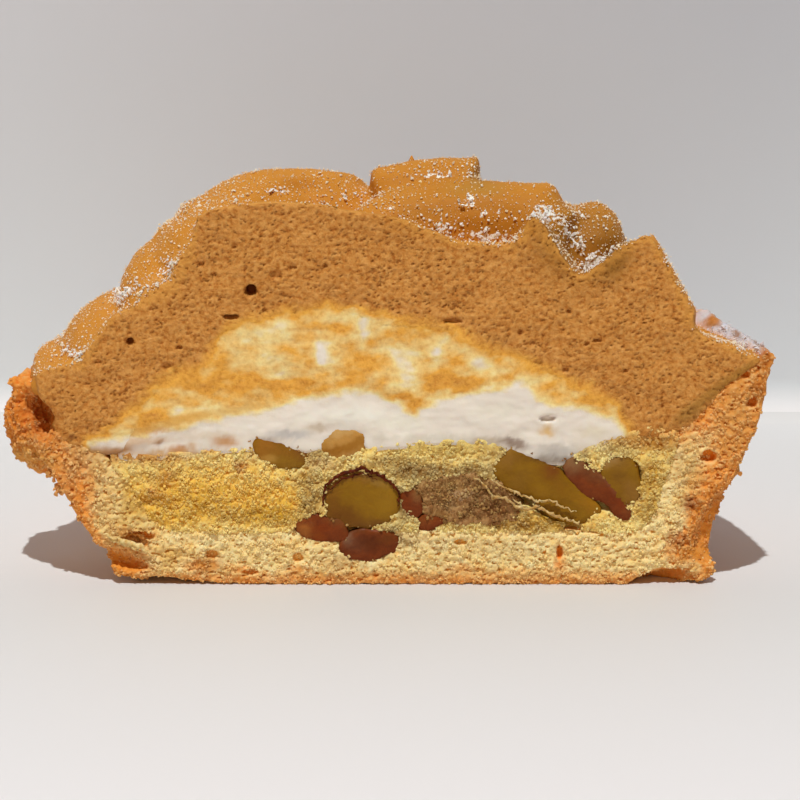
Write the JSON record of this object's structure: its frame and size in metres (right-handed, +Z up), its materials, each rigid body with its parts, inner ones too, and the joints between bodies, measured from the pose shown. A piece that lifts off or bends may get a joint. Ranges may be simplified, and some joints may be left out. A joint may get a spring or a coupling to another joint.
{
  "type": "mont blanc tart half",
  "caption": "Half of a small chestnut cream tart in a flared shortcrust shell, cut through the middle to show cream, almond sponge, chestnuts and beans.",
  "frame": {"origin": "middle of the bounding box on the surface that the tart stands on", "axes": "+Z up; the cut face looks along -Y; +X to the right as the cut is seen, along the cut"},
  "size_m": [0.08, 0.0397, 0.0431],
  "materials": {
    "crust": "baked shortcrust pastry, golden outside and pale at the cut",
    "almond_sponge": "moist yellow almond sponge crumb",
    "whipped_cream": "whipped cream, stained orange where it meets the chestnut cream",
    "chestnut_cream": "piped chestnut butter cream, smooth outside and porous at the cut",
    "chestnut": "candied chestnut, waxy and olive yellow",
    "bean": "sweet red bean, dark and translucent",
    "bean_paste": "mashed sweet bean and chestnut, grey brown"
  },
  "bodies": {
    "root": {"crust": "crust", "almond_sponge": "almond_sponge", "whipped_cream": "whipped_cream", "chestnut_cream": "chestnut_cream", "chestnut_centre": "chestnut", "chestnut_left": "chestnut", "chestnut_top": "chestnut", "chestnut_right": "chestnut", "chestnut_edge": "chestnut", "bean_paste": "bean_paste", "bean_right": "bean", "bean_lower_left": "bean", "bean_lower": "bean", "bean_middle": "bean", "bean_small": "bean"}
  },
  "joints": []
}
